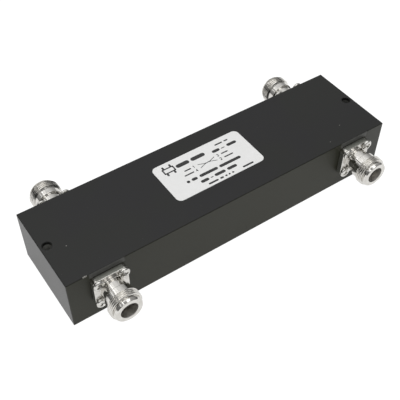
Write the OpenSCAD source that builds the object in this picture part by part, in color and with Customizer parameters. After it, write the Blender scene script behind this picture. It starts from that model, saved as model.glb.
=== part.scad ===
// Four-port hybrid coupler: a milled aluminium housing with a coaxial jack near each end of its front
// and rear faces, and a pair of stepped striplines that cross inside it.
// X runs along the length, Y to the rear, Z up. The origin is the centre of the bottom face.

/* [Housing] */
// Length of the housing
body_l = 184; // [182:1:210]
// Width of the housing, from its front face to its rear face
body_w = 49.2; // [46:0.2:60]
// Height of the housing
body_h = 30; // [29:0.5:40]
// Width of the small chamfer along the outer edges
edge_chamfer = 0.3; // [0.1:0.1:0.8]
// Thickness of the front and rear walls
side_wall_t = 6; // [5.6:0.1:8]
// Height of the air channel, from its floor to its roof
channel_h = 12; // [11:0.5:14]
// How far the channel runs on beyond each port axis
channel_end = 7.5; // [6:0.25:8]
// Radius of the milled corners of the channel
channel_corner_r = 4; // [2:0.5:6]

/* [Mounting holes] */
// Diameter of the two through holes
mount_hole_d = 4.3; // [3.2:0.1:4.5]
// Distance from each end of the housing to the axis of its hole
mount_hole_inset = 3.5; // [3:0.1:3.8]
// Width of the chamfer around the holes in the top face
mount_hole_chamfer = 0.3; // [0.1:0.05:0.4]

/* [Cover] */
// Thickness of the cover plate, which is also the depth of the ledge that it lies on
cover_t = 3; // [2.5:0.1:4]
// Width of the housing's rim beside the cover, front and rear
cover_side_rim = 1.2; // [0.8:0.1:1.4]
// Width of the housing's rim at each end of the cover
cover_end_rim = 6.6; // [6.3:0.1:7.4]
// Radius of the cover's corners
cover_corner_r = 3; // [1:0.5:4]
// Gap between the cover's edge and the rim around it
cover_gap = 0.1; // [0.05:0.05:0.2]
// Gap between the raised land on the cover and the channel's walls
land_gap = 0.2; // [0.1:0.05:0.4]
// Number of cover screws along each long side
cover_screw_count = 6; // [4:1:8]
// Distance from the cover's edges to the screw axes
cover_screw_inset = 2.6; // [2.5:0.1:2.9]
// Diameter of the cover screws
cover_screw_d = 2.5; // [2:0.1:2.6]
// Diameter of the countersunk heads
cover_head_d = 4.4; // [4:0.1:4.6]
// Length of the cover screws, heads included
cover_screw_l = 8; // [6:0.5:9]

/* [Ports] */
// Distance along the housing between the left and right port axes
port_pitch = 144.2; // [130:0.1:146]
// Height of the port axes above the bottom face
port_z = 18; // [16:0.5:19]
// How far the jacks stand out from the housing
port_len = 18.1; // [17:0.1:19.5]
// Width of the square flange
flange_w = 17.5; // [17:0.1:18.5]
// Thickness of the flange
flange_t = 2.9; // [2.4:0.1:3.4]
// Radius of the flange's corners
flange_corner_r = 2; // [0.4:0.1:2.5]
// Spacing of the flange screws, in both directions
flange_hole_pitch = 12.7; // [12.6:0.1:13.2]
// Diameter of the barrel between the flange and the collar
barrel_d = 12; // [11:0.1:12.2]
// Diameter of the plain collar behind the thread
collar_d = 14; // [13:0.1:15]
// Length of the plain collar
collar_l = 3.5; // [2:0.1:5]
// Outer diameter of the coupling thread
thread_d = 15.88; // [15.6:0.02:15.9]
// Length of the coupling thread
thread_l = 3.9; // [3:0.1:4.5]
// Width of the groove between the thread and the front rim
rim_groove_w = 1; // [0.4:0.1:1.4]
// Diameter of that groove
rim_groove_d = 14.1; // [13:0.1:14.4]
// Diameter of the front rim
rim_d = 14.5; // [13.6:0.1:14.8]
// Length of the front rim
rim_l = 1.3; // [1.2:0.1:2]
// Width of the chamfer on the rim's outer edge
rim_chamfer = 1; // [0.2:0.05:1.1]

/* [Port bore] */
// Diameter of the mouth
mouth_d = 8.6; // [8.4:0.1:9.2]
// Width of the chamfer at the mouth
mouth_chamfer = 0.4; // [0.2:0.05:0.7]
// Depth of the mouth, from the front face
mouth_depth = 3.8; // [3:0.1:3.8]
// Diameter of the bore that guides the plug's outer conductor
guide_d = 8.1; // [8.03:0.01:8.13]
// Depth of the shoulder that the plug's outer conductor meets, from the front face
shoulder_depth = 9.1; // [9.04:0.01:9.19]
// Inner diameter of the outer conductor behind that shoulder
outer_conductor_d = 7; // [6.8:0.1:7.2]
// Diameter of the seat for the insulator, which opens at the back of the flange
insulator_seat_d = 8.2; // [7.8:0.1:8.6]
// Depth of that seat, from the back of the flange
insulator_seat_depth = 5; // [4:0.1:6]

/* [Insulator and contact] */
// Diameter of the insulator's nose, which fills the hole through the housing's wall
nose_d = 6.4; // [5.6:0.1:7]
// Gap around the insulator and around the contact's shank
dielectric_gap = 0.03; // [0.02:0.01:0.06]
// Step from the plug's shoulder back to the insulator's front face
insulator_recess = 0.2; // [0:0.05:0.5]
// Diameter of the contact's socket end
contact_d = 3.04; // [3:0.01:3.1]
// Diameter of the hole in the socket end
contact_hole_d = 1.66; // [1.6:0.01:1.7]
// Depth of that hole
contact_hole_depth = 4.6; // [4:0.1:5]
// Distance from the jack's front face to the contact's tip
contact_tip_depth = 3.9; // [3.85:0.05:4.4]
// Width of the slots across the socket end
contact_slot_w = 0.25; // [0.15:0.05:0.3]
// Length of those slots
contact_slot_l = 3.6; // [3:0.1:4.2]
// Diameter of the contact's shank
shank_d = 2.1; // [2:0.05:2.4]
// How far the shank reaches into the channel, where a strip is soldered to it
solder_l = 4; // [3:0.1:5]

/* [Flange screws] */
// Diameter of the flange screws
flange_screw_d = 3; // [2.8:0.1:3.1]
// Length of the flange screws under the head
flange_screw_l = 8; // [7:0.1:8.1]
// Diameter of the pan heads
pan_head_d = 5.5; // [5:0.1:5.6]
// Height of the pan heads
pan_head_h = 1.9; // [1.6:0.1:2.2]
// Height of the upright edge of the pan heads
pan_edge_h = 0.8; // [0.5:0.1:1.1]
// Width of the arms of the cross recess
cross_w = 0.8; // [0.5:0.1:1]
// Gap around a screw in its clearance hole
screw_hole_gap = 0.1; // [0.05:0.05:0.15]
// Gap around a screw in its tapped hole
tapped_gap = 0.02; // [0.01:0.01:0.05]
// How much deeper a tapped hole is than its screw
tapped_run_out = 0.3; // [0.2:0.1:0.4]

/* [Striplines] */
// Thickness of the strips
strip_t = 1; // [0.6:0.1:1.4]
// Air gap between the upper and the lower strip
strip_gap = 1; // [0.6:0.1:1.6]
// Length of the middle section, where the strips lie over each other
middle_l = 48.2; // [44:0.1:56]
// Width of the strips in the middle section
middle_w = 8; // [7:0.1:10]
// Width of the strips in the outer sections
outer_w = 12.5; // [11:0.1:14]
// Sideways offset of the strips in the outer sections
outer_offset = 8; // [7.5:0.1:9]
// Width of the tabs that are soldered to the contacts
tab_w = 3.4; // [2.6:0.1:4]
// Gap between a tab's end and the channel's wall
tab_gap = 0.8; // [0.6:0.1:1.2]
// Width of the mitre on the corner where a strip turns to a port
port_mitre = 6; // [3:0.5:9]
// Width of the mitres on the corners between the sections
step_mitre = 2.5; // [1:0.5:5]

/* [Supports] */
// Diameter of the plastic posts and spacers
post_d = 5; // [4:0.1:6]
// Spacing of the posts in the middle section
post_pitch = 18; // [10:0.5:20]
// Distance from the centre to the posts in the outer sections
outer_post_x = 48; // [40:0.5:60]
// Diameter of the pegs that locate the posts in the roof and the floor
foot_d = 2.4; // [1.6:0.1:3]
// Length of those pegs
foot_l = 1.4; // [1:0.1:2]
// Diameter of the pegs that locate the strips
peg_d = 2; // [1.4:0.1:2.6]
// Gap around each peg in its hole
peg_gap = 0.05; // [0.03:0.01:0.1]

/* [Label] */
// Length of the label
label_l = 50.4; // [40:0.1:60]
// Width of the label
label_w = 24.2; // [18:0.1:30]
// Thickness of the label
label_t = 0.15; // [0.1:0.05:0.3]
// Radius of the label's corners
label_corner_r = 2; // [0.5:0.5:4]
// How far the label's centre lies to the right of the top face's centre
label_x = 0.4; // [-20:0.1:20]
// How far the label's centre lies behind the top face's centre
label_y = 1.5; // [-5:0.1:5]
// Angle that the label was stuck on at
label_turn = 1; // [-3:0.5:3]

/* [Hidden] */

$fn = 64;
// Overlap that keeps a cut clear of the face that it opens in
cut = 1;
// Span of a cross recess, as a share of the head's diameter
cross_span = 0.58;
// Depth of a pan head's recess, as a share of the head's height
cross_depth = 0.6;

// Port sides: left and right along X, front and rear along Y, and the strip that each port feeds
LEFT = -1;
RIGHT = 1;
FRONT = -1;
REAR = 1;
UPPER = 1;
LOWER = -1;

channel_l = port_pitch + 2 * channel_end;
channel_w = body_w - 2 * side_wall_t;
roof_z = port_z + channel_h / 2;
floor_z = port_z - channel_h / 2;
ledge_l = body_l - 2 * cover_end_rim;
ledge_w = body_w - 2 * cover_side_rim;
cover_l = ledge_l - 2 * cover_gap;
cover_w = ledge_w - 2 * cover_gap;
cover_screw_x = cover_l / 2 - cover_screw_inset;
cover_screw_y = cover_w / 2 - cover_screw_inset;
cover_screw_step = 2 * cover_screw_x / (cover_screw_count - 1);

shoulder_z = port_len - shoulder_depth;
tip_z = port_len - contact_tip_depth;
insulator_front_z = shoulder_z - insulator_recess;
wall_hole_d = nose_d + 2 * dielectric_gap;

upper_strip_z = port_z + strip_gap / 2;
lower_strip_z = port_z - strip_gap / 2 - strip_t;
post_places = [-post_pitch, 0, post_pitch];

// Shapes

module rounded_rectangle(l, w, r) {
    square([l - 2 * r, w], center = true);
    square([l, w - 2 * r], center = true);
    for (x = [-1, 1], y = [-1, 1])
        translate([x * (l / 2 - r), y * (w / 2 - r)]) circle(r = r);
}

module chamfered_rectangle(a, b, c) {
    polygon([[-a / 2 + c, -b / 2], [a / 2 - c, -b / 2], [a / 2, -b / 2 + c], [a / 2, b / 2 - c],
        [a / 2 - c, b / 2], [-a / 2 + c, b / 2], [-a / 2, b / 2 - c], [-a / 2, -b / 2 + c]]);
}

// Block with every edge chamfered, standing on Z = 0
module chamfered_block(l, w, h, c) {
    translate([0, 0, h / 2]) intersection() {
        linear_extrude(h, center = true) chamfered_rectangle(l, w, c);
        rotate([90, 0, 0]) linear_extrude(w, center = true) chamfered_rectangle(l, h, c);
        rotate([90, 0, 90]) linear_extrude(l, center = true) chamfered_rectangle(w, h, c);
    }
}

// Puts a piece built along +Z, with its local Y up, on a port, so that +Z points out of the housing
module at_port(side, face) {
    translate([side * port_pitch / 2, face * body_w / 2, port_z])
        rotate([90, 0, face == FRONT ? 0 : 180]) children();
}

module at_flange_holes() {
    for (x = [-1, 1], y = [-1, 1])
        translate([x * flange_hole_pitch / 2, y * flange_hole_pitch / 2, 0]) children();
}

module at_all_ports() {
    for (side = [LEFT, RIGHT], face = [FRONT, REAR]) at_port(side, face) children();
}

module at_cover_screws() {
    for (i = [0 : cover_screw_count - 1], y = [-1, 1])
        translate([-cover_screw_x + i * cover_screw_step, y * cover_screw_y, 0]) children();
}

module at_mount_holes() {
    for (x = [-1, 1]) translate([x * (body_l / 2 - mount_hole_inset), 0, 0]) children();
}

// Posts that stand on the middle section
module at_middle_posts() {
    for (x = post_places) translate([x, 0, 0]) children();
}

// Posts that stand on the outer sections of one strip
module at_outer_posts(strip) {
    for (x = [-1, 1]) translate([x * outer_post_x, x * strip * outer_offset, 0]) children();
}

module at_strip_posts(strip) {
    at_middle_posts() children();
    at_outer_posts(strip) children();
}

// Cross-shaped recess, cut downwards from Z = 0
module cross_recess(reach, depth) {
    for (a = [0, 90])
        rotate(a) translate([-reach / 2, -cross_w / 2, -depth]) cube([reach, cross_w, depth + cut]);
}

// Housing

module housing() {
    color([0.1, 0.1, 0.1]) difference() {
        chamfered_block(body_l, body_w, body_h, edge_chamfer);
        translate([0, 0, -cut])
            linear_extrude(roof_z + cut) rounded_rectangle(channel_l, channel_w, channel_corner_r);
        translate([0, 0, -cut])
            linear_extrude(cover_t + cut) rounded_rectangle(ledge_l, ledge_w, cover_corner_r);
        at_mount_holes() mount_hole();
        at_cover_screws()
            cylinder(d = cover_screw_d + 2 * tapped_gap, h = cover_screw_l + tapped_run_out);
        at_all_ports() {
            translate([0, 0, -side_wall_t - cut]) cylinder(d = wall_hole_d, h = side_wall_t + 2 * cut);
            at_flange_holes() flange_tapped_hole();
        }
        for (strip = [UPPER, LOWER]) at_strip_posts(strip) translate([0, 0, roof_z - cut]) foot_hole();
    }
}

// Through hole for a fixing screw, chamfered in the top face
module mount_hole() {
    wide_d = mount_hole_d + 2 * mount_hole_chamfer;
    translate([0, 0, -cut]) cylinder(d = mount_hole_d, h = body_h + 2 * cut);
    translate([0, 0, body_h - mount_hole_chamfer])
        cylinder(d1 = mount_hole_d, d2 = wide_d, h = mount_hole_chamfer);
    translate([0, 0, body_h]) cylinder(d = wide_d, h = cut);
}

module flange_tapped_hole() {
    depth = flange_screw_l - flange_t + tapped_run_out;
    translate([0, 0, -depth]) cylinder(d = flange_screw_d + 2 * tapped_gap, h = depth + cut);
}

// Blind hole for a post's foot, with its mouth at Z = cut
module foot_hole() {
    cylinder(d = foot_d + 2 * peg_gap, h = cut + foot_l + peg_gap);
}

// Cover, flush with the bottom of the housing, with a raised land that is the channel's floor

module bottom_cover() {
    land_l = channel_l - 2 * land_gap;
    land_w = channel_w - 2 * land_gap;
    color([0.13, 0.13, 0.13]) difference() {
        union() {
            linear_extrude(cover_t) rounded_rectangle(cover_l, cover_w, cover_corner_r);
            linear_extrude(floor_z) rounded_rectangle(land_l, land_w, channel_corner_r);
        }
        at_cover_screws() countersunk_hole();
        for (strip = [UPPER, LOWER])
            at_strip_posts(strip) translate([0, 0, floor_z + cut]) mirror([0, 0, 1]) foot_hole();
    }
}

module countersunk_hole() {
    hole_d = cover_screw_d + 2 * screw_hole_gap;
    translate([0, 0, -cut]) cylinder(d = hole_d, h = cover_t + 2 * cut);
    cylinder(d1 = cover_head_d, d2 = hole_d, h = (cover_head_d - hole_d) / 2);
    translate([0, 0, -cut]) cylinder(d = cover_head_d, h = cut);
}

module cover_screws() {
    head_h = (cover_head_d - cover_screw_d) / 2;
    color([0.55, 0.55, 0.56]) at_cover_screws() difference() {
        union() {
            cylinder(d1 = cover_head_d, d2 = cover_screw_d, h = head_h);
            cylinder(d = cover_screw_d, h = cover_screw_l);
        }
        mirror([0, 0, 1]) cross_recess(cross_span * cover_head_d, head_h);
    }
}

// Jacks, built along +Z from the housing's face

module jack() {
    rim_z = port_len - rim_l;
    thread_z = rim_z - rim_groove_w - thread_l;
    collar_z = thread_z - collar_l;
    color([0.78, 0.77, 0.74]) difference() {
        union() {
            linear_extrude(flange_t) rounded_rectangle(flange_w, flange_w, flange_corner_r);
            cylinder(d = barrel_d, h = thread_z);
            translate([0, 0, collar_z]) cylinder(d = collar_d, h = collar_l);
            translate([0, 0, thread_z]) cylinder(d = thread_d, h = thread_l);
            translate([0, 0, thread_z]) cylinder(d = rim_groove_d, h = rim_z - thread_z);
            translate([0, 0, rim_z]) cylinder(d = rim_d, h = rim_l - rim_chamfer);
            translate([0, 0, port_len - rim_chamfer])
                cylinder(d1 = rim_d, d2 = rim_d - 2 * rim_chamfer, h = rim_chamfer);
        }
        jack_bore();
        at_flange_holes() translate([0, 0, -cut])
            cylinder(d = flange_screw_d + 2 * screw_hole_gap, h = flange_t + 2 * cut);
    }
}

module jack_bore() {
    translate([0, 0, port_len - mouth_chamfer])
        cylinder(d1 = mouth_d, d2 = mouth_d + 2 * mouth_chamfer, h = mouth_chamfer);
    translate([0, 0, port_len]) cylinder(d = mouth_d + 2 * mouth_chamfer, h = cut);
    translate([0, 0, port_len - mouth_depth]) cylinder(d = mouth_d, h = mouth_depth);
    translate([0, 0, shoulder_z]) cylinder(d = guide_d, h = shoulder_depth);
    translate([0, 0, -cut]) cylinder(d = outer_conductor_d, h = shoulder_z + 2 * cut);
    translate([0, 0, -cut]) cylinder(d = insulator_seat_d, h = insulator_seat_depth + cut);
}

// Insulator: a front bush, a wide waist held between the jack and the wall, and a nose in the wall's hole
module insulator() {
    color([0.93, 0.93, 0.9]) difference() {
        union() {
            cylinder(d = outer_conductor_d - 2 * dielectric_gap, h = insulator_front_z);
            cylinder(d = insulator_seat_d - 2 * dielectric_gap, h = insulator_seat_depth);
            translate([0, 0, -side_wall_t]) cylinder(d = nose_d, h = side_wall_t + cut);
        }
        translate([0, 0, -side_wall_t - cut])
            cylinder(d = shank_d + 2 * dielectric_gap, h = side_wall_t + insulator_front_z + 2 * cut);
    }
}

// Contact: a slotted socket in front, and a shank with a flat where the strip lies
module contact(strip) {
    color([0.83, 0.66, 0.3]) difference() {
        union() {
            translate([0, 0, insulator_front_z]) cylinder(d = contact_d, h = tip_z - insulator_front_z);
            translate([0, 0, -side_wall_t - solder_l])
                cylinder(d = shank_d, h = side_wall_t + solder_l + insulator_front_z + cut);
        }
        translate([0, 0, tip_z - contact_hole_depth])
            cylinder(d = contact_hole_d, h = contact_hole_depth + cut);
        for (a = [0, 90]) rotate(a) translate([-contact_d, -contact_slot_w / 2, tip_z - contact_slot_l])
            cube([2 * contact_d, contact_slot_w, contact_slot_l + cut]);
        contact_flat(strip);
    }
}

module contact_flat(strip) {
    flat_l = solder_l - tab_gap / 2;
    mirror([0, strip == UPPER ? 0 : 1, 0])
        translate([-shank_d, strip_gap / 2, -side_wall_t - solder_l - cut])
            cube([2 * shank_d, shank_d, flat_l + cut]);
}

// Four pan head screws with a cross recess, seated on the flange
module flange_screws() {
    dome_h = pan_head_h - pan_edge_h;
    dome_r = (pow(pan_head_d / 2, 2) + pow(dome_h, 2)) / (2 * dome_h);
    color([0.8, 0.79, 0.77]) at_flange_holes() translate([0, 0, flange_t]) difference() {
        union() {
            intersection() {
                cylinder(d = pan_head_d, h = pan_head_h);
                translate([0, 0, pan_head_h - dome_r]) sphere(r = dome_r);
            }
            translate([0, 0, -flange_screw_l]) cylinder(d = flange_screw_d, h = flange_screw_l + pan_edge_h);
        }
        translate([0, 0, pan_head_h]) cross_recess(cross_span * pan_head_d, cross_depth * pan_head_h);
    }
}

// Striplines

// Half of the outline of the strip that runs from the front left port to the rear right one.
// The other half is the same turned by 180 degrees.
function strip_half_outline() =
    let (port_x = port_pitch / 2, join_x = middle_l / 2, tab_y = channel_w / 2 - tab_gap,
        near_y = outer_offset - outer_w / 2, far_y = outer_offset + outer_w / 2)
    [[-port_x - tab_w / 2, -tab_y], [-port_x + tab_w / 2, -tab_y], [-port_x + tab_w / 2, -far_y],
        [-join_x - step_mitre, -far_y], [-join_x, -far_y + step_mitre], [-join_x, -middle_w / 2],
        [join_x - step_mitre, -middle_w / 2], [join_x, -middle_w / 2 + step_mitre], [join_x, near_y],
        [port_x + tab_w / 2 - port_mitre, near_y], [port_x + tab_w / 2, near_y + port_mitre]];

module stripline(strip) {
    half = strip_half_outline();
    mirror([0, strip == UPPER ? 0 : 1, 0]) difference() {
        linear_extrude(strip_t) polygon(concat(half, [for (p = half) -p]));
        at_strip_posts(UPPER) translate([0, 0, -cut])
            cylinder(d = peg_d + 2 * peg_gap, h = strip_t + 2 * cut);
    }
}

module upper_stripline() {
    color([0.8, 0.8, 0.8]) translate([0, 0, upper_strip_z]) stripline(UPPER);
}

module lower_stripline() {
    color([0.74, 0.74, 0.76]) translate([0, 0, lower_strip_z]) stripline(LOWER);
}

// Post that stands on Z = 0, with a foot that reaches past its top and, if asked for, a peg below
module post(height, peg) {
    cylinder(d = post_d, h = height);
    translate([0, 0, height - cut]) cylinder(d = foot_d, h = cut + foot_l);
    if (peg) translate([0, 0, -strip_t]) cylinder(d = peg_d, h = strip_t + cut);
}

// Posts between the strips and the roof. Those of the upper strip hold it by a peg.
module roof_posts() {
    upper_top = upper_strip_z + strip_t;
    lower_top = lower_strip_z + strip_t;
    color([0.9, 0.9, 0.86]) {
        at_strip_posts(UPPER) translate([0, 0, upper_top]) post(roof_z - upper_top, true);
        at_outer_posts(LOWER) translate([0, 0, lower_top]) post(roof_z - lower_top, false);
    }
}

// Posts between the strips and the floor. Those of the lower strip hold it by a peg.
module floor_posts() {
    color([0.9, 0.9, 0.86]) {
        at_strip_posts(LOWER) translate([0, 0, lower_strip_z]) mirror([0, 0, 1])
            post(lower_strip_z - floor_z, true);
        at_outer_posts(UPPER) translate([0, 0, upper_strip_z]) mirror([0, 0, 1])
            post(upper_strip_z - floor_z, false);
    }
}

// Discs that keep the strips apart in the middle section
module strip_spacers() {
    color([0.9, 0.9, 0.86]) at_middle_posts()
        translate([0, 0, port_z - strip_gap / 2]) cylinder(d = post_d, h = strip_gap);
}

// Label

module label() {
    color([0.94, 0.94, 0.93]) translate([label_x, label_y, body_h]) rotate(label_turn)
        linear_extrude(label_t) rounded_rectangle(label_l, label_w, label_corner_r);
}

housing();
bottom_cover();
cover_screws();
label();
at_port(LEFT, FRONT) jack();  // front_left_jack
at_port(RIGHT, FRONT) jack();  // front_right_jack
at_port(LEFT, REAR) jack();  // rear_left_jack
at_port(RIGHT, REAR) jack();  // rear_right_jack
at_port(LEFT, FRONT) insulator();  // front_left_insulator
at_port(RIGHT, FRONT) insulator();  // front_right_insulator
at_port(LEFT, REAR) insulator();  // rear_left_insulator
at_port(RIGHT, REAR) insulator();  // rear_right_insulator
at_port(LEFT, FRONT) contact(UPPER);  // front_left_contact
at_port(RIGHT, FRONT) contact(LOWER);  // front_right_contact
at_port(LEFT, REAR) contact(LOWER);  // rear_left_contact
at_port(RIGHT, REAR) contact(UPPER);  // rear_right_contact
at_port(LEFT, FRONT) flange_screws();  // front_left_screws
at_port(RIGHT, FRONT) flange_screws();  // front_right_screws
at_port(LEFT, REAR) flange_screws();  // rear_left_screws
at_port(RIGHT, REAR) flange_screws();  // rear_right_screws
upper_stripline();
lower_stripline();
strip_spacers();
roof_posts();
floor_posts();
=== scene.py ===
import math
import random

import bmesh
import bpy
from mathutils import Matrix, Vector


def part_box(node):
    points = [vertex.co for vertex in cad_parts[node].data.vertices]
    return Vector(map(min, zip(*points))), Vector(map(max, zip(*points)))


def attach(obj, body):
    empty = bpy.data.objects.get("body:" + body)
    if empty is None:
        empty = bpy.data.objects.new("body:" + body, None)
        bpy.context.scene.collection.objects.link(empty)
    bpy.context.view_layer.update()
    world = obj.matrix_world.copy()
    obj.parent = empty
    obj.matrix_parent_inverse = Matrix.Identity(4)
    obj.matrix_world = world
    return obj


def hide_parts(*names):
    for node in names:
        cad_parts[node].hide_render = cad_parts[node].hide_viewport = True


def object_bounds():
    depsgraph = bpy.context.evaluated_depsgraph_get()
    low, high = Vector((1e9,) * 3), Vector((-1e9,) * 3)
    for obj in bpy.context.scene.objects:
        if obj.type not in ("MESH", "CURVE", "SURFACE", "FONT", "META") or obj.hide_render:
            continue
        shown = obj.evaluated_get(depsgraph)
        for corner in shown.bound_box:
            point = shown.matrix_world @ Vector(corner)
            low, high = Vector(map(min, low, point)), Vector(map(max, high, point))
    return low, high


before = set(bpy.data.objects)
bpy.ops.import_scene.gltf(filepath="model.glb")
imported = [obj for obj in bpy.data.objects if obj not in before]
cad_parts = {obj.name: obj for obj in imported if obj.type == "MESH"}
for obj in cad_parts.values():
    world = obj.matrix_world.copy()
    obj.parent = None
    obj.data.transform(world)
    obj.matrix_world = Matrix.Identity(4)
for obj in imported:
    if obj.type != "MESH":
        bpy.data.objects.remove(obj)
cad_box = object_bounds()

# Meshes are built in millimetres and scaled to the frame's metres when they are finished
MM = 0.001
random.seed(4)

PORT_NAMES = ("front_left", "front_right", "rear_left", "rear_right")


# Shaders

class Value:
    """One socket of a shader. Arithmetic on it adds Math nodes."""

    def __init__(self, shader, socket):
        self.shader = shader
        self.socket = socket

    def math(self, operation, *values):
        inputs = dict(enumerate(values))
        return self.shader.node("ShaderNodeMath", {"operation": operation}, inputs)

    def __add__(self, other):
        return self.math("ADD", self, other)

    def __radd__(self, other):
        return self.math("ADD", other, self)

    def __sub__(self, other):
        return self.math("SUBTRACT", self, other)

    def __rsub__(self, other):
        return self.math("SUBTRACT", other, self)

    def __mul__(self, other):
        return self.math("MULTIPLY", self, other)

    def __rmul__(self, other):
        return self.math("MULTIPLY", other, self)

    def max(self, other):
        return self.math("MAXIMUM", self, other)

    def between(self, low, high):
        """A soft step: 0 below low, 1 above high. With low above high it falls instead."""
        return self.shader.node(
            "ShaderNodeMapRange", {"interpolation_type": "SMOOTHSTEP", "clamp": True},
            {"Value": self, "From Min": low, "From Max": high}, "Result")


class Shader:
    """The nodes of a material or of the world, under construction."""

    def __init__(self, owner):
        self.owner = owner
        owner.use_nodes = True
        self.tree = owner.node_tree
        self.tree.nodes.clear()

    def node(self, kind, settings=None, inputs=None, output=0):
        """Adds a node: its settings first, then the values or links of its sockets."""
        node = self.tree.nodes.new(kind)
        for setting, value in (settings or {}).items():
            if setting == "stops":
                set_stops(node.color_ramp.elements, value)
            else:
                setattr(node, setting, value)
        for key, value in (inputs or {}).items():
            if isinstance(value, Value):
                self.tree.links.new(value.socket, node.inputs[key])
            else:
                node.inputs[key].default_value = value
        return Value(self, node.outputs[output] if node.outputs else None)

    def place(self):
        """The point of the surface, in metres, in the piece's own frame."""
        return self.node("ShaderNodeTexCoord", output="Object")

    def axis(self, place, output):
        """The X, Y or Z of a vector."""
        return self.node("ShaderNodeSeparateXYZ", None, {0: place}, output)

    def vector(self, operation, *values, output=0):
        inputs = dict(enumerate(values))
        return self.node("ShaderNodeVectorMath", {"operation": operation}, inputs, output)

    def length(self, place):
        return self.vector("LENGTH", place, output="Value")

    def level(self, place):
        """The same vector without its Z."""
        return self.vector("MULTIPLY", place, (1.0, 1.0, 0.0))

    def noise(self, place, size_mm, detail=2.0, roughness=0.5):
        """Noise whose lumps are about size_mm across, from 0 to 1."""
        inputs = {"Vector": place, "Scale": 1 / (size_mm * MM),
                  "Detail": detail, "Roughness": roughness}
        return self.node("ShaderNodeTexNoise", None, inputs, "Fac")

    def mix(self, factor, first, second):
        """Blends two colours, from first at factor 0 to second at factor 1."""
        color_a, color_b, color_result = 6, 7, 2
        inputs = {0: factor, color_a: first, color_b: second}
        return self.node("ShaderNodeMix", {"data_type": "RGBA"}, inputs, color_result)

    def bump(self, height, depth_mm):
        """A bump whose full height stands for depth_mm."""
        inputs = {"Height": height, "Distance": depth_mm * MM, "Strength": 1.0}
        return self.node("ShaderNodeBump", None, inputs)

    def finish(self, sockets):
        surface = self.node("ShaderNodeBsdfPrincipled", None, sockets)
        self.node("ShaderNodeOutputMaterial", None, {"Surface": surface})
        return self.owner


def set_stops(elements, stops):
    """Gives a color ramp these stops, each a position and a color. The ramp is new and has two."""
    while len(elements) < len(stops):
        elements.new(1.0)
    for element, (position, color) in zip(elements, stops):
        element.position = position
        element.color = color


def new_material(name):
    return Shader(bpy.data.materials.new(name))


def rgb(red, green, blue):
    return (red, green, blue, 1.0)


# Finishes

# Where the paint and the painted light on it change, in metres. Each pair gives where a change
# starts and where it is full
FRONT_FACE_Y = (-0.0243, -0.0246)
LEFT_END_X = (-0.0915, -0.0919)
# Where the front face's painted light grows lighter towards its right end
FRONT_RIGHT_X = (0.0795, 0.0825)
HOLE_X = 0.0885
HOLE_WALL_R = (0.0026, 0.0025)
HOLE_WALL_Z = (0.0286, 0.0278)
# This pair reaches past both ends: the left hole's walls are bare, the right one's half bare
HOLE_BARE_X = (0.25, -0.1)
# Bounds of the painted bounce light with worn paint above each flange, on both long faces
BOUNCE_WEAR_INNER_X = (0.0628, 0.0640)
BOUNCE_WEAR_OUTER_X = (0.0814, 0.0802)
BOUNCE_WEAR_Y = (0.0243, 0.0246)
BOUNCE_WEAR_Z = (0.0267, 0.0274)

# Spots where the paint is knocked off: place on the housing in millimetres, and size
CHIPS = (
    ((-83.3, -24.4, 29.9), 0.5),
    ((-82.6, -24.3, 29.9), 0.55),
    ((-81.9, -24.4, 29.9), 0.4),
    ((-81.4, -4.9, 30.0), 0.35),
    ((72.1, -13.2, 30.0), 0.3),
    ((59.8, -20.0, 30.0), 0.3),
)


def bare_hole_walls(s, place, x, z):
    """The walls of the mounting holes below the top, which took no paint."""
    apart = s.vector("ABSOLUTE", s.level(place))
    from_hole = s.length(s.vector("SUBTRACT", apart, (HOLE_X, 0.0, 0.0)))
    unpainted = from_hole.between(*HOLE_WALL_R) * z.between(*HOLE_WALL_Z)
    return unpainted * x.between(*HOLE_BARE_X)


def bounce_lit_worn_patches(s, place, z):
    """Painted bounce light mixed with worn paint, between each flange and the top edge."""
    apart = s.vector("ABSOLUTE", place)
    apart_x = s.axis(apart, "X")
    patch = apart_x.between(*BOUNCE_WEAR_INNER_X) * apart_x.between(*BOUNCE_WEAR_OUTER_X)
    patch = patch * z.between(*BOUNCE_WEAR_Z) * s.axis(apart, "Y").between(*BOUNCE_WEAR_Y)
    return patch * (0.55 + s.noise(place, 1.2, 3) * 0.9)


def chipped_spots(s, place, chips):
    """Small spots with ragged edges, round the chips' middles."""
    spots = 0.0
    for centre, size in chips:
        middle = tuple(part * MM for part in centre)
        ragged = (s.noise(place, 0.6, 3) - 0.5) * (size * MM)
        distance = s.vector("DISTANCE", place, middle, output="Value") + ragged
        spots = distance.between(size * MM * 0.75, size * MM * 0.6).max(spots)
    return spots


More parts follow.
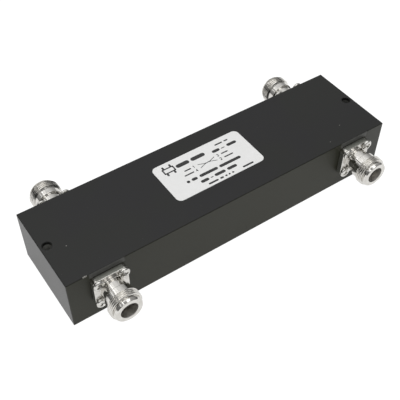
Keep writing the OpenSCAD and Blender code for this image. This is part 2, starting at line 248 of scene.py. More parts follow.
def black_paint(name, chips=()):
    """Satin black paint with a slight texture, chipped where the block is. It carries painted
    light: the front face is painted lighter and yellow-green, most at its right end, and above
    each flange painted bounce light is mixed with worn paint.
    """
    s = new_material(name)
    place = s.place()
    x, z = s.axis(place, "X"), s.axis(place, "Z")
    haze = s.noise(place, 60, 1)
    tint = s.noise(place, 35, 1)
    peel = s.noise(place, 0.55, 2, 0.55)
    dust = s.noise(place, 1.3, 1).between(0.76, 0.82)
    front = s.axis(place, "Y").between(*FRONT_FACE_Y)
    end = x.between(*LEFT_END_X)
    color = s.mix(tint.between(0.4, 0.6), rgb(0.0100, 0.0100, 0.0108), rgb(0.0104, 0.0110, 0.0096))
    # Painted light: the front face is painted lighter and yellow-green, and lighter still towards
    # its right end
    color = s.mix(front * 0.8, color, rgb(0.0165, 0.0170, 0.0030))
    color = s.mix(front * x.between(*FRONT_RIGHT_X), color, rgb(0.046, 0.0465, 0.038))
    color = s.mix(dust * 0.3, color, rgb(0.08, 0.08, 0.075))
    color = s.mix(bare_hole_walls(s, place, x, z), color, rgb(0.30, 0.30, 0.28))
    # Painted bounce light mixed with worn paint: a lighter patch above each flange
    color = s.mix(bounce_lit_worn_patches(s, place, z), color, rgb(0.105, 0.106, 0.100))
    if chips:
        color = s.mix(chipped_spots(s, place, chips), color, rgb(0.30, 0.29, 0.27))
    return s.finish({
        "Base Color": color,
        "Roughness": 0.37 + haze * 0.08 + peel * 0.05 - end * 0.07 + front * 0.05,
        "IOR": 1.41,
        "Normal": s.bump(peel, 0.006),
    })


def turned_nickel(name):
    """Bright nickel over turned brass, with the tool's fine rings round the jack's own Z axis."""
    s = new_material(name)
    place = s.place()
    z = s.axis(place, "Z")
    radius = s.length(s.level(place))
    across = s.node("ShaderNodeCombineXYZ", None, {"X": radius, "Z": z})
    rings = s.noise(across, 0.09, 2)
    cloud = s.noise(place, 2.2, 3)
    smear = s.noise(place, 0.7, 3)
    apart = s.vector("ABSOLUTE", place)
    from_axis = s.axis(apart, "X").max(s.axis(apart, "Y"))
    sawn = from_axis.between((FLANGE_HALF - 0.03) * MM, FLANGE_HALF * MM)
    milled = z.between((FLANGE_T + 0.2) * MM, (FLANGE_T + 0.1) * MM)
    bore = radius.between((MOUTH_LIP_R + 0.12) * MM, (MOUTH_LIP_R + 0.05) * MM)
    past_band = z.between((BAND_END - 0.2) * MM, BAND_END * MM)
    thread = radius.between((BAND_R + 0.1) * MM, (BAND_R + 0.2) * MM) * past_band
    color = s.mix(cloud.between(0.35, 0.75), rgb(0.70, 0.685, 0.655), rgb(0.60, 0.585, 0.55))
    color = s.mix(sawn, color, rgb(0.235, 0.24, 0.215))
    roughness = 0.12 + smear.between(0.3, 0.8) * 0.08
    for mask, least in ((sawn, 0.5), (milled, 0.22), (bore, 0.4), (thread, 0.2)):
        roughness = roughness.max(mask * least)
    return s.finish({
        "Base Color": color,
        "Metallic": 1.0,
        "Roughness": roughness,
        "Normal": s.bump(rings, 0.0016),
    })


def screw_nickel(name):
    """Nickel plate of bulk screws, duller and finely scratched."""
    s = new_material(name)
    place = s.place()
    cloud = s.noise(place, 1.4, 3)
    scratch = s.noise(place, 0.16, 2)
    color = s.mix(cloud.between(0.35, 0.7), rgb(0.70, 0.69, 0.66), rgb(0.56, 0.55, 0.52))
    return s.finish({
        "Base Color": color,
        "Metallic": 1.0,
        "Roughness": 0.15 + cloud * 0.12,
        "Normal": s.bump(scratch, 0.003),
    })


def plated(name, light, dark, roughness):
    """Plain plated metal, slightly clouded."""
    s = new_material(name)
    place = s.place()
    cloud = s.noise(place, 3.0, 3)
    fine = s.noise(place, 0.12, 2)
    return s.finish({
        "Base Color": s.mix(cloud.between(0.3, 0.7), light, dark),
        "Metallic": 1.0,
        "Roughness": roughness + cloud * 0.1,
        "Normal": s.bump(fine, 0.002),
    })


def waxy_plastic(name):
    s = new_material(name)
    place = s.place()
    cloud = s.noise(place, 2.0, 2)
    return s.finish({
        "Base Color": s.mix(cloud, rgb(0.80, 0.79, 0.76), rgb(0.86, 0.85, 0.83)),
        "Roughness": 0.42 + cloud * 0.12,
        "Normal": s.bump(s.noise(place, 0.25, 2), 0.004),
    })


def label_film(name):
    s = new_material(name)
    place = s.place()
    mottle = s.noise(place, 6.0, 3)
    fibre = s.noise(place, 0.35, 3)
    return s.finish({
        "Base Color": s.mix(mottle.between(0.3, 0.7),
                            rgb(0.95, 0.95, 0.945), rgb(0.93, 0.93, 0.92)),
        "Roughness": 0.42 + fibre * 0.1,
        "Normal": s.bump(fibre, 0.004),
    })


def label_ink(name):
    s = new_material(name)
    place = s.place()
    patch = s.noise(place, 0.5, 2)
    return s.finish({
        "Base Color": s.mix(patch.between(0.4, 0.8),
                            rgb(0.022, 0.022, 0.023), rgb(0.05, 0.05, 0.05)),
        "Roughness": 0.5 + patch * 0.1,
    })


# Mesh building

# Edges that turn more than this many degrees are shaded sharp
SHARP_ANGLE = 35


def circle(mesh, radius, z, count, centre=(0.0, 0.0)):
    """A ring of vertices round an axis along Z.

    The radius is a number or a function of the angle.
    """
    ring = []
    for i in range(count):
        angle = 2 * math.pi * i / count
        r = radius(angle) if callable(radius) else radius
        x, y = centre[0] + r * math.cos(angle), centre[1] + r * math.sin(angle)
        ring.append(mesh.verts.new((x, y, z)))
    return ring


def rounded_rectangle(mesh, half_x, half_y, corner, z, steps):
    """A ring of vertices round the Z axis, with this many steps along each rounded corner."""
    ring = []
    for quarter, (side_x, side_y) in enumerate(((1, 1), (-1, 1), (-1, -1), (1, -1))):
        cx, cy = side_x * (half_x - corner), side_y * (half_y - corner)
        for i in range(steps + 1):
            angle = (quarter + i / steps) * math.pi / 2
            x, y = cx + corner * math.cos(angle), cy + corner * math.sin(angle)
            ring.append(mesh.verts.new((x, y, z)))
    return ring


def skin(mesh, rings):
    """Joins each ring of vertices to the next."""
    for ring, following in zip(rings, rings[1:]):
        for i, vertex in enumerate(ring):
            mesh.faces.new((ring[i - 1], vertex, following[i], following[i - 1]))


# A face with this material index is shaded flat. finished_mesh sets it back to 0
FLAT = 1


def fill_between(mesh, rings):
    """Fills the flat face that the first ring bounds and the other rings pierce."""
    edges = [mesh.edges.get((ring[i - 1], ring[i])) for ring in rings for i in range(len(ring))]
    filled = bmesh.ops.triangle_fill(mesh, use_beauty=True, edges=edges)
    for face in filled["geom"]:
        if isinstance(face, bmesh.types.BMFace):
            face.material_index = FLAT


def arc(z, r, z_radius, r_radius, start, end, steps=5):
    """Points (z, r) along an ellipse's arc. Angle 0 points along r, 90 along z."""
    points = []
    for i in range(steps + 1):
        angle = math.radians(start + (end - start) * i / steps)
        points.append((z + z_radius * math.sin(angle), r + r_radius * math.cos(angle)))
    return points


def mark_sharp(mesh, sharp_angle=SHARP_ANGLE):
    for edge in mesh.edges:
        edge.smooth = edge.is_manifold and edge.calc_face_angle(0) < math.radians(sharp_angle)


def finished_mesh(mesh, name, sharp_angle=SHARP_ANGLE):
    """Turns a bmesh into mesh data in metres, smooth but for its sharp edges and flat faces."""
    bmesh.ops.recalc_face_normals(mesh, faces=mesh.faces)
    for face in mesh.faces:
        face.smooth = face.material_index != FLAT
        face.material_index = 0
    mark_sharp(mesh, sharp_angle)
    bmesh.ops.scale(mesh, vec=(MM, MM, MM), verts=mesh.verts)
    data = bpy.data.meshes.new(name)
    mesh.to_mesh(data)
    mesh.free()
    return data


def add_piece(name, data, materials, matrix=None, stands_for=()):
    """Makes an object of mesh data, which takes the place of these nodes of the frame."""
    piece = bpy.data.objects.new(name, data)
    bpy.context.scene.collection.objects.link(piece)
    data.materials.clear()
    for material in materials:
        data.materials.append(material)
    piece.matrix_world = matrix or Matrix.Identity(4)
    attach(piece, "root")
    if stands_for:
        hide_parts(*stands_for)


# Jacks, in their own frame: Z points out of the housing and is 0 on its face, and Y is up

SEGMENTS, HOLE_SEGMENTS = 96, 32
# Chamfer of an edge that is only broken
EDGE_BREAK = 0.12

FLANGE_HALF = 8.75
FLANGE_T = 2.9
FLANGE_CORNER = 2.0
FLANGE_ROUND = 0.3
SCREW_OFFSET = 6.35
SCREW_HOLE_R = 1.6
BARREL_R = 6.0
FOOT_ROUND = 0.3
# The plain band between the barrel and the thread, and the small lip where the thread starts
BAND_START, BAND_END, BAND_R = 8.4, 11.5, 7.0
BAND_ROUND = 0.22
BAND_LIP = 0.12
THREAD_END = 15.8
THREAD_R = 7.94
THREAD_PITCH = 25.4 / 24
THREAD_DEPTH = 0.6
THREAD_RINGS = 48
# How much the thread's radius may grow for each millimetre from its start, and from its end
RUN_IN, RUN_OUT = 1.3, 1.6
THREAD_END_DROP = 0.35
GROOVE_END, GROOVE_R = 16.85, 6.65
RIM_R = 7.12
FACE_Z = 18.1
FACE_OUTER_R = 6.3
NOSE_ROUND = 0.4
MOUTH_R, MOUTH_CHAMFER, MOUTH_DEPTH = 4.35, 0.15, 3.8
MOUTH_LIP_R = MOUTH_R + MOUTH_CHAMFER
GUIDE_R, SHOULDER_DEPTH = 4.05, 9.1
INNER_R = 3.5
SEAT_R, SEAT_DEPTH = 4.1, 5.0


def ridge(turns):
    """A truncated V thread's height after so many turns: 0 in the root, 1 on the crest."""
    root_flat, flank = 0.12, 0.7
    wave = 1 - abs(2 * (turns % 1) - 1)
    return min(max((wave - root_flat) / flank, 0), 1)


def coupling_thread():
    """Rings (z, radius function) of the jack's thread, which runs out at both ends."""
    root = THREAD_R - THREAD_DEPTH
    rings = []
    for i in range(THREAD_RINGS + 1):
        z = BAND_END + (THREAD_END - BAND_END) * i / THREAD_RINGS
        run_in = BAND_R + BAND_LIP + (z - BAND_END) * RUN_IN
        run_out = THREAD_R - THREAD_END_DROP + (THREAD_END - z) * RUN_OUT
        limit = min(run_in, run_out)

        def radius(angle, z=z, limit=limit):
            turns = (z - BAND_END) / THREAD_PITCH - angle / (2 * math.pi)
            return max(min(root + THREAD_DEPTH * ridge(turns), limit), min(root, limit))

        rings.append((z, radius))
    return rings


def jack_profile():
    """The turned outline (z, radius), in two parts that the thread's rings join.

    The first runs from the foot of the barrel to the band, the second over the front and
    down the bore.
    """
    foot = arc(FLANGE_T + FOOT_ROUND, BARREL_R + FOOT_ROUND, -FOOT_ROUND, -FOOT_ROUND, 90, 0, 3)
    step = [(BAND_START - 0.12, BARREL_R), (BAND_START, BARREL_R + 0.1)]
    step += arc(BAND_START + BAND_ROUND, BAND_R - BAND_ROUND, -BAND_ROUND, BAND_ROUND, 90, 0, 3)
    band = [(BAND_END - 0.1, BAND_R), (BAND_END - 0.02, BAND_R + BAND_LIP)]
    groove = [(THREAD_END + 0.02, GROOVE_R + 0.1), (THREAD_END + 0.1, GROOVE_R),
              (GROOVE_END - 0.02, GROOVE_R)]
    rim = [(GROOVE_END, RIM_R - 0.1), (GROOVE_END + 0.07, RIM_R), (GROOVE_END + 0.15, RIM_R)]
    rim += arc(FACE_Z - NOSE_ROUND, FACE_OUTER_R, NOSE_ROUND, NOSE_ROUND, 25, 90, 6)
    mouth = [(FACE_Z, MOUTH_LIP_R + 0.04), (FACE_Z - 0.03, MOUTH_LIP_R),
             (FACE_Z - MOUTH_CHAMFER, MOUTH_R), (FACE_Z - MOUTH_DEPTH, GUIDE_R)]
    bore = [(FACE_Z - SHOULDER_DEPTH, GUIDE_R), (FACE_Z - SHOULDER_DEPTH, INNER_R),
            (SEAT_DEPTH, INNER_R), (SEAT_DEPTH, SEAT_R), (0.0, SEAT_R)]
    return held(foot + step + band), held(groove + rim + mouth + bore)


def held(profile, reach=0.04, long_side=0.5):
    """Adds points near the ends of each long straight, which keep it straight when smooth."""
    points = profile[:1]
    for (z0, r0), (z1, r1) in zip(profile, profile[1:]):
        length = math.hypot(z1 - z0, r1 - r0)
        if length > long_side:
            share = reach / length
            for t in (share, 1 - share):
                points.append((z0 + (z1 - z0) * t, r0 + (r1 - r0) * t))
        points.append((z1, r1))
    return points


def flange_side():
    """The flange's side as (inset, z): the back edge broken, the front edge rounded."""
    rounded = arc(FLANGE_T - FLANGE_ROUND, 0.0, FLANGE_ROUND, FLANGE_ROUND, 0, 90, 4)
    back = [(EDGE_BREAK, 0.0), (0.0, EDGE_BREAK)]
    return held(back + [(FLANGE_ROUND - r, z) for z, r in rounded])


def screw_hole(mesh, centre):
    walls = ((SCREW_HOLE_R + EDGE_BREAK, 0.0), (SCREW_HOLE_R, EDGE_BREAK),
             (SCREW_HOLE_R, FLANGE_T - EDGE_BREAK), (SCREW_HOLE_R + EDGE_BREAK, FLANGE_T))
    hole = [circle(mesh, r, z, HOLE_SEGMENTS, centre) for r, z in walls]
    skin(mesh, hole)
    return hole


def jack_data():
    """One jack as mesh data: a square plate with four holes, and the turned shell through it."""
    mesh = bmesh.new()
    plate = []
    for inset, z in flange_side():
        half = FLANGE_HALF - inset
        plate.append(rounded_rectangle(mesh, half, half, FLANGE_CORNER - inset, z, steps=6))
    skin(mesh, plate)
    sides = (-SCREW_OFFSET, SCREW_OFFSET)
    holes = [screw_hole(mesh, (x, y)) for x in sides for y in sides]
    outside, inside = jack_profile()
    turned = [circle(mesh, r, z, SEGMENTS) for z, r in outside + coupling_thread() + inside]
    skin(mesh, turned)
    fill_between(mesh, [plate[-1], turned[0]] + [hole[-1] for hole in holes])
    fill_between(mesh, [plate[0], turned[-1]] + [hole[0] for hole in holes])
    return finished_mesh(mesh, "jack")


def port_matrix(port):
    """From a jack's own frame to the housing's, on the middle of its flange's back."""
    low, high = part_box(port + "_jack")
    front = port.startswith("front")
    middle = (low + high) / 2
    back = high.y if front else low.y
    half_turn = Matrix.Rotation(0 if front else math.pi, 4, "Z")
    outward = half_turn @ Matrix.Rotation(math.pi / 2, 4, "X")
    return Matrix.Translation((middle.x, back, middle.z)) @ outward


# Screws, in their own frame: Z points out of the head and is 0 under it

PAN_R, PAN_H, PAN_EDGE, PAN_ROUND = 2.75, 1.9, 0.7, 0.85
PAN_SCREW_R, PAN_SCREW_L, PAN_PITCH = 1.5, 8.0, 0.5
FLUSH_R, FLUSH_H = 2.2, 0.95
FLUSH_SCREW_R, FLUSH_SCREW_L, FLUSH_PITCH = 1.25, 7.05, 0.45
SCREW_SEGMENTS = 40
RINGS_PER_TURN = 4
COVER_SCREWS_IN_ROW = 6
# How far the cross recess's arms reach at each depth, as shares of its depth and of their reach
CROSS_DEPTHS = ((0.8, 0.62), (1.0, 0.3))
# The share of the arms' width that stays where the reach tapers to nothing
CROSS_CORE = 0.6


def shank_rings(radius, length, pitch):
    """Rings (z, radius function) of a threaded shank, from its pointed tip up to the head."""
    depth = 0.6 * pitch
    root = radius - depth
    tip = root * 0.9
    plain = 0.4
    rings = [(-length, root * 0.6)]
    steps = int(length / pitch * RINGS_PER_TURN)
    for i in range(1, steps):
        z = -length + (length - plain) * i / steps
        limit = tip + (z + length) * 0.8

        def ring_radius(angle, z=z, limit=limit):
            turns = z / pitch - angle / (2 * math.pi)
            return min(root + depth * ridge(turns), max(limit, tip))

        rings.append((z, ring_radius))
    rings.append((-0.35, radius))
    return rings


def pan_head():
    """The outline of a low dome with a well rounded edge."""
    rings = [(0.0, PAN_SCREW_R + 0.05), (0.0, PAN_R - 0.25), (0.12, PAN_R - 0.06), (0.25, PAN_R)]
    rings += arc(PAN_EDGE, PAN_R - PAN_ROUND, PAN_ROUND, PAN_ROUND, 0, 62, 6)
    edge_z, edge_r = rings[-1]
    steps = 8
    for i in range(1, steps):
        outward = 1 - i / steps
        rings.append((edge_z + (PAN_H - edge_z) * (1 - outward ** 2), edge_r * outward))
    return rings


def flush_head():
    """The outline of a countersunk head with a flat top."""
    cone = [(0.02, FLUSH_SCREW_R + 0.05), (FLUSH_H - 0.1, FLUSH_R - 0.08)]
    rim = [(FLUSH_H - 0.04, FLUSH_R), (FLUSH_H, FLUSH_R - 0.03)]
    top = [(FLUSH_H, FLUSH_R * 0.66), (FLUSH_H, FLUSH_R * 0.33)]
    return cone + rim + top


def cross_cutter(reach, arm, top, depth):
    """The tapered cross that a driver's recess leaves, as mesh data."""
    mesh = bmesh.new()
    levels = [(top + 0.4, 1.08), (top - 0.2, 1.0)]
    levels += [(top - depth * part, share) for part, share in CROSS_DEPTHS]
    rings = []
    for z, share in levels:
        narrow = CROSS_CORE + (1 - CROSS_CORE) * share
        ring = []
        for quarter in range(4):
            turn = Matrix.Rotation(quarter * math.pi / 2, 3, "Z")
            for x, y, x_share in ((reach, -arm, share), (reach, arm, share), (arm, arm, narrow)):
                ring.append(mesh.verts.new(turn @ Vector((x * x_share, y * narrow, z))))
        rings.append(ring)
    skin(mesh, rings)
    mesh.faces.new(rings[0])
    mesh.faces.new(list(reversed(rings[-1])))
    return finished_mesh(mesh, "cross")


def screw_data(name, rings, reach, arm, top, depth):
    """One screw with its cross recess cut, as mesh data. The recess takes material 1, which
    carries its painted shade.
    """
    mesh = bmesh.new()
    turned = [circle(mesh, r, z, SCREW_SEGMENTS) for z, r in rings]
    skin(mesh, turned)
    mesh.faces.new(turned[0])
    mesh.faces.new(list(reversed(turned[-1])))
    blank = bpy.data.objects.new(name + "_blank", finished_mesh(mesh, name))
    cutter = bpy.data.objects.new(name + "_cutter", cross_cutter(reach, arm, top, depth))
    for helper in (blank, cutter):
        bpy.context.scene.collection.objects.link(helper)
    cut = blank.modifiers.new("recess", "BOOLEAN")
    cut.operation = "DIFFERENCE"
    cut.solver = "EXACT"
    cut.object = cutter
    shown = blank.evaluated_get(bpy.context.evaluated_depsgraph_get())
    data = bpy.data.meshes.new_from_object(shown)
    for helper in (blank, cutter):
        bpy.data.objects.remove(helper)
    # The recess's walls and floor take material 1, a dark finish that is painted shade
    for face in data.polygons:
        centre = face.center / MM
        near = centre.xy.length < reach * 1.05 and centre.z > top - depth * 1.02
        wall_or_floor = face.normal.z < 0.8 or centre.z < top - depth * 0.9
        face.material_index = 1 if near and wall_or_floor else 0
    return data


def gathered(name, data, matrices):
    """Copies of one mesh, set at these places and joined as mesh data in metres."""
    mesh = bmesh.new()
    for matrix in matrices:
        copy = data.copy()
        copy.transform(matrix)
        mesh.from_mesh(copy)
        bpy.data.meshes.remove(copy)
    mark_sharp(mesh)
    joined = bpy.data.meshes.new(name)
    mesh.to_mesh(joined)
    mesh.free()
    return joined


def random_turn():
    """A screw's turn by chance. A cross looks the same after a quarter turn."""
    return Matrix.Rotation(random.uniform(0, math.pi / 2), 4, "Z")


def flange_screw_matrices():
    """Places of the four screws in a jack's frame, each turned by chance."""
    offset = SCREW_OFFSET * MM
    return [Matrix.Translation((x, y, FLANGE_T * MM)) @ random_turn()
            for x in (-offset, offset) for y in (-offset, offset)]


def cover_screw_matrices():
    """Places of the cover screws, head down, in two rows that fill their node's box."""
    low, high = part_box("cover_screws")
    head = FLUSH_R * MM
    flip = Matrix.Rotation(math.pi, 4, "X")
    matrices = []
    for i in range(COVER_SCREWS_IN_ROW):
        x = low.x + head + (high.x - low.x - 2 * head) * i / (COVER_SCREWS_IN_ROW - 1)
        for y in (low.y + head, high.y - head):
            matrices.append(Matrix.Translation((x, y, FLUSH_H * MM)) @ flip @ random_turn())
    return matrices


# Label: the film, and a print of two crossing lines, a plan of the block and rows of bars,
# in millimetres from the film's centre

FILM_L, FILM_W, FILM_CORNER, FILM_T = 51.3, 25.6, 2.8, 0.13
FILM_CENTRE = (-0.43, 1.35)
FILM_TURN = 0.25
INK_T = 0.02
# Each row: how high it lies, how thick its bars are, and where each bar starts and ends
PRINT_ROWS = (
    (9.3, 0.85, ((10.2, 14.8), (15.8, 18.2))),
    (7.4, 2.4, ((-14.2, -6.6), (-5.6, 2.7))),
    (5.9, 1.8, ((6.3, 10.8), (15.2, 21.0))),
    (5.7, 0.5, ((11.6, 13.8),)),
    (2.6, 0.75, ((-12.5, -8.6), (9.4, 13.5))),
    (-0.2, 0.75, ((-14.2, -8.6), (9.4, 14.8))),
    (-4.3, 1.75, ((-15.6, -13.8), (-12.8, -9.5), (-8.2, 2.5), (3.5, 16.3))),
    (-7.9, 1.75, ((-9.8, -5.2), (-1.8, 4.5), (5.7, 11.3))),
    (-8.0, 0.5, ((-4.3, -2.7),)),
    (-11.0, 1.05, ((-7.5, -1.8), (-0.8, 1.3), (2.2, 3.5), (4.2, 5.3), (6.3, 7.5),
                   (12.8, 19.3))),
)
# The two lines come in from the corners of this box, and cross at a slant in its middle
CROSSING_L, CROSSING_R, CROSSING_LOW, CROSSING_HIGH = -4.4, 5.2, 0.1, 2.8
CROSSING_LEAD, CROSSING_GAP, CROSSING_LINE = 3.0, 0.44, 0.34
# Each port's number and the place of its lower left corner
PORT_NUMBERS = ((1, -7.4, 1.9), (4, -7.4, -0.9), (3, 6.9, 1.9), (2, 6.9, -0.9))
NUMBER_H = 1.5
PLAN_CENTRE = (-18.2, 7.6)


def film_data():
    """The label's film: a rounded rectangle whose top is one ink's thickness below the label's."""
    mesh = bmesh.new()
    rings = []
    for inset, z in ((0.0, 0.0), (0.0, FILM_T - 0.03), (0.03, FILM_T)):
        half_x, half_y = FILM_L / 2 - inset, FILM_W / 2 - inset
        corner = FILM_CORNER - inset
        rings.append(rounded_rectangle(mesh, half_x, half_y, corner, z, steps=8))
    skin(mesh, rings)
    mesh.faces.new(rings[-1])
    mesh.faces.new(rings[0][::-1])
    return finished_mesh(mesh, "label_film", sharp_angle=20)


def stroke(mesh, points, width):
    """A flat line of ink with round ends through these points, as a thin closed solid."""
    half = width / 2
    points = [Vector(p) for p in points]
    left, right = [], []
    for i, point in enumerate(points):
        before = (point - points[i - 1]).normalized() if i else None
        after = (points[i + 1] - point).normalized() if i + 1 < len(points) else None
        along = ((before or after) + (after or before)).normalized()
        side = Vector((-along.y, along.x))
        # The corner of a bend lies further out, but not past 2.5 times the half width
        stretch = half / max(0.4, along.dot(after or before))
        left.append(point + side * stretch)
        right.append(point - side * stretch)
    outline = left + round_cap(left[-1], right[-1]) + right[::-1] + round_cap(right[0], left[0])
    bottom = [mesh.verts.new((p.x, p.y, 0)) for p in outline]
    top = [mesh.verts.new((p.x, p.y, INK_T)) for p in outline]
    skin(mesh, [bottom, top])
    mesh.faces.new(top)
    mesh.faces.new(bottom[::-1])


def round_cap(start, end, steps=5):
    """Points of the half circle from start to end, clockwise, without its ends."""
    middle = (start + end) / 2
    arm = start - middle
    cap = []
    for i in range(1, steps):
        angle = -math.pi * i / steps
        c, n = math.cos(angle), math.sin(angle)
        cap.append(middle + Vector((arm.x * c - arm.y * n, arm.x * n + arm.y * c)))
    return cap


def curve(cx, cy, rx, ry, start, end, steps=8):
    """Points along an ellipse's arc, with angles in degrees."""
    angles = [math.radians(start + (end - start) * i / steps) for i in range(steps + 1)]
    return [(cx + rx * math.cos(a), cy + ry * math.sin(a)) for a in angles]


# Each number is drawn in a cell one unit high and 0.6 wide
NUMBERS = {
    1: [[(0.12, 0.78), (0.34, 1.0), (0.34, 0.0)]],
    2: [curve(0.3, 0.72, 0.28, 0.28, 160, -35) + [(0.04, 0.0), (0.6, 0.0)]],
    3: [curve(0.28, 0.75, 0.26, 0.25, 150, -80), curve(0.28, 0.26, 0.3, 0.27, 80, -150)],
    4: [[(0.44, 0.0), (0.44, 1.0), (0.02, 0.32), (0.6, 0.32)]],
}


def number(mesh, value, x, y, height):
    for line in NUMBERS[value]:
        points = [(x + px * height, y + py * height) for px, py in line]
        stroke(mesh, points, 0.2 * height)


def bar(mesh, start, end, y, width):
    """A level bar with round ends."""
    stroke(mesh, [(start + width / 2, y), (end - width / 2, y)], width)


def crossing_lines(mesh):
    """The coupler's two lines, which cross between four numbered ports."""
    middle = (CROSSING_LOW + CROSSING_HIGH) / 2
    for near, far in ((CROSSING_HIGH, CROSSING_LOW), (CROSSING_LOW, CROSSING_HIGH)):
        lean = math.copysign(CROSSING_GAP / 2, near - middle)
        points = [(CROSSING_L, near), (CROSSING_L + CROSSING_LEAD, middle + lean),
                  (CROSSING_R - CROSSING_LEAD, middle - lean), (CROSSING_R, far)]
        stroke(mesh, points, CROSSING_LINE)
    for value, x, y in PORT_NUMBERS:
        number(mesh, value, x, y, NUMBER_H)


def block_plan(mesh, x, y):
    """A plan of the block and its four ports, with its middle at the point x, y."""
    half_l, half_w, line = 2.9, 1.5, 0.75
    port_inset, port_end, port_line = 0.9, 1.4, 1.1
    corners = [(x + side_x * half_l, y + side_y * half_w)
               for side_x, side_y in ((-1, -1), (1, -1), (1, 1), (-1, 1))]
    for i, corner in enumerate(corners):
        stroke(mesh, [corners[i - 1], corner], line)
    for side in (-1, 1):
        port_x = x + side * (half_l - port_inset)
        for face in (-1, 1):
            ends = [(port_x, y + face * (half_w + reach)) for reach in (line, port_end)]
            stroke(mesh, ends, port_line)


def print_data():
    """All of the label's print, as mesh data."""
    mesh = bmesh.new()
    block_plan(mesh, *PLAN_CENTRE)
    crossing_lines(mesh)
    for y, width, spans in PRINT_ROWS:
        for start, end in spans:
            bar(mesh, start, end, y, width)
    return finished_mesh(mesh, "label_print")


# Putting the object together

NICKEL = turned_nickel("nickel_plate")
SCREW_NICKEL = screw_nickel("nickel_screws")
STEEL = plated("plain_steel", rgb(0.50, 0.49, 0.47), rgb(0.38, 0.37, 0.36), 0.28)
# Painted shade: a dark plated finish that stands in for the shade inside the screws' cross
# recesses
RECESS_SHADE = plated("recess_painted_shade", rgb(0.15, 0.14, 0.12), rgb(0.07, 0.065, 0.06), 0.35)
PAINT = black_paint("satin_black_paint", CHIPS)
COVER_PAINT = black_paint("satin_black_cover")
FILM = label_film("white_label_film")
INK = label_ink("label_ink")
PLASTIC = waxy_plastic("waxy_white_plastic")
GOLD = plated("gold_plate", rgb(0.46, 0.41, 0.33), rgb(0.38, 0.34, 0.28), 0.32)
SILVER = plated("silver_plate", rgb(0.86, 0.85, 0.83), rgb(0.74, 0.73, 0.70), 0.22)

NODE_FINISHES = {
    "housing": PAINT,
    "bottom_cover": COVER_PAINT,
    "upper_stripline": SILVER,
    "lower_stripline": SILVER,
    "strip_spacers": PLASTIC,
    "roof_posts": PLASTIC,
    "floor_posts": PLASTIC,
}
for port in PORT_NAMES:
    NODE_FINISHES[port + "_insulator"] = PLASTIC
    NODE_FINISHES[port + "_contact"] = GOLD

for node_name, finish in NODE_FINISHES.items():
    node_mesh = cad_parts[node_name].data
    node_mesh.materials.clear()
    node_mesh.materials.append(finish)

pan_shank = shank_rings(PAN_SCREW_R, PAN_SCREW_L, PAN_PITCH)
pan_screw = screw_data("pan_screw", pan_shank + pan_head(),
                       reach=1.45, arm=0.5, top=PAN_H, depth=1.3)
flush_shank = shank_rings(FLUSH_SCREW_R, FLUSH_SCREW_L, FLUSH_PITCH)
flush_screw = screw_data("flush_screw", flush_shank + flush_head(),
                         reach=1.28, arm=0.32, top=FLUSH_H, depth=0.9)

jack = jack_data()
for port in PORT_NAMES:
    matrix = port_matrix(port)
    add_piece(port + "_turned_jack", jack.copy(), [NICKEL], matrix, [port + "_jack"])
    screws = gathered(port + "_pan_screws", pan_screw, flange_screw_matrices())
    add_piece(port + "_pan_screws", screws, [SCREW_NICKEL, RECESS_SHADE],
              matrix, [port + "_screws"])

cover_screws = gathered("cover_flush_screws", flush_screw, cover_screw_matrices())
add_piece("cover_flush_screws", cover_screws, [STEEL, RECESS_SHADE], None, ["cover_screws"])

label_place = Vector((FILM_CENTRE[0] * MM, FILM_CENTRE[1] * MM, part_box("label")[0].z))
label_matrix = Matrix.Translation(label_place) @ Matrix.Rotation(math.radians(FILM_TURN), 4, "Z")
print_matrix = label_matrix @ Matrix.Translation((0, 0, FILM_T * MM))
add_piece("label_sheet", film_data(), [FILM], label_matrix, ["label"])
add_piece("label_print", print_data(), [INK], print_matrix)


# Floor, light and camera

# The floor's half side in millimetres, and how bright it glows
FLOOR_HALF = 30000
FLOOR_GLOW = 1.13
# The glow's share in the floor where the camera sees it, and how much less where it is mirrored
GLOW_SEEN, GLOW_LESS_MIRRORED = 0.86, 0.16

# The studio's lamps, each level and facing down: name, middle, size in metres, and radiance
PANELS = (
    ("back_panel", (-0.26, 0.70, 0.87), (0.35, 0.8), 0.40),
    ("back_strip", (-0.465, 0.0, 0.87), (0.08, 2.4), 2.2),
    ("left_strip", (-0.99, 0.20, 0.87), (0.10, 2.0), 1.8),
    ("front_strip", (0.07, -0.70, 0.87), (0.11, 0.7), 2.4),
    ("front_panel", (-0.60, -0.85, 0.87), (0.35, 0.5), 1.4),
    ("front_right_panel", (0.28, -0.55, 0.87), (0.26, 0.34), 1.75),
    ("top_panel", (0.12, 0.10, 1.1), (1.0, 0.7), 1.15),
)
# One lamp stands upright in front and faces back
WINDOW = ("front_window", (0.15, -1.0, 0.30), (0.10, 0.6), 1.3)

# The sky's brightness at each slant, which adds these shares of a direction's X, Y and Z
SKY_SLANT = (0.15, 0.45, 1.0)
SKY_STOPS = ((0.25, 0.16), (0.48, 0.34), (0.75, 0.42), (0.92, 0.60), (1.10, 0.90))

# The camera, as fitted to the block's edges: place in metres, turn in degrees, lens in millimetres
CAMERA_PLACE = (-0.14347, -0.19878, 0.27639)
CAMERA_TURN = (42.085, -0.195, -34.385)
CAMERA_LENS, CAMERA_SENSOR = 63.851, 36
CAMERA_CLIP_START = 0.01


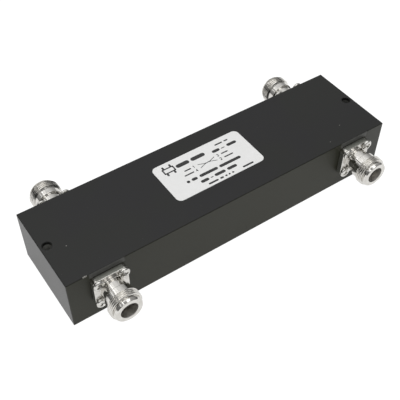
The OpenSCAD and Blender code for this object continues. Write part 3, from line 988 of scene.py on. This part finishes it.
def pale_floor():
    """A floor that shows white where it is seen or mirrored, and still takes the shadow."""
    s = new_material("white_floor")
    mottle = s.noise(s.place(), 80, 2)
    camera, glossy, through = (
        s.node("ShaderNodeLightPath", output=name)
        for name in ("Is Camera Ray", "Is Glossy Ray", "Is Transmission Ray"))
    mirrored = glossy.max(through)
    seen = camera.max(mirrored)
    white = rgb(1.0, 1.0, 1.0)
    dim = s.mix(mottle, rgb(0.70, 0.70, 0.69), rgb(0.72, 0.72, 0.71))
    surface = s.node("ShaderNodeBsdfDiffuse", None, {"Color": s.mix(seen, dim, white)})
    glow = s.node("ShaderNodeEmission", None, {"Color": white, "Strength": FLOOR_GLOW})
    share = seen * GLOW_SEEN - mirrored * GLOW_LESS_MIRRORED
    both = s.node("ShaderNodeMixShader", None, {0: share, 1: surface, 2: glow})
    s.node("ShaderNodeOutputMaterial", None, {"Surface": both})
    return s.owner


def add_floor():
    mesh = bmesh.new()
    signs = ((-1, -1), (1, -1), (1, 1), (-1, 1))
    mesh.faces.new([mesh.verts.new((x * FLOOR_HALF, y * FLOOR_HALF, 0)) for x, y in signs])
    floor = bpy.data.objects.new("floor", finished_mesh(mesh, "floor"))
    bpy.context.scene.collection.objects.link(floor)
    floor.data.materials.append(pale_floor())
    floor.location.z = cad_box[0].z


def add_panel(name, middle, size, radiance, upright=False):
    """A lamp as bright as radiance, level and facing down, or upright and facing back."""
    lamp = bpy.data.lights.new(name, "AREA")
    lamp.shape = "RECTANGLE"
    lamp.size, lamp.size_y = size
    lamp.energy = radiance * math.pi * size[0] * size[1]
    holder = bpy.data.objects.new(name, lamp)
    holder.location = middle
    holder.rotation_euler.x = math.radians(90 if upright else 0)
    bpy.context.scene.collection.objects.link(holder)


def add_world():
    """A soft sky that is brightest overhead and behind the object."""
    world = bpy.data.worlds.new("studio")
    s = Shader(world)
    last = SKY_STOPS[-1][0]
    towards = tuple(part / last for part in SKY_SLANT)
    stops = [(position / last, rgb(grey, grey, grey)) for position, grey in SKY_STOPS]
    direction = s.node("ShaderNodeTexCoord", output="Generated")
    slant = s.vector("DOT_PRODUCT", direction, towards, output="Value")
    sky = s.node("ShaderNodeValToRGB", {"stops": stops}, {"Fac": slant})
    background = s.node("ShaderNodeBackground", None, {"Color": sky})
    s.node("ShaderNodeOutputWorld", None, {"Surface": background})
    bpy.context.scene.world = world


def add_camera():
    camera = bpy.data.cameras.new("camera")
    camera.sensor_width = CAMERA_SENSOR
    camera.lens = CAMERA_LENS
    camera.clip_start = CAMERA_CLIP_START
    holder = bpy.data.objects.new("camera", camera)
    holder.location = CAMERA_PLACE
    holder.rotation_euler = [math.radians(angle) for angle in CAMERA_TURN]
    bpy.context.scene.collection.objects.link(holder)
    bpy.context.scene.camera = holder


add_floor()
for panel in PANELS:
    add_panel(*panel)
add_panel(*WINDOW, upright=True)
add_world()
add_camera()
bpy.context.scene.view_settings.view_transform = "Standard"
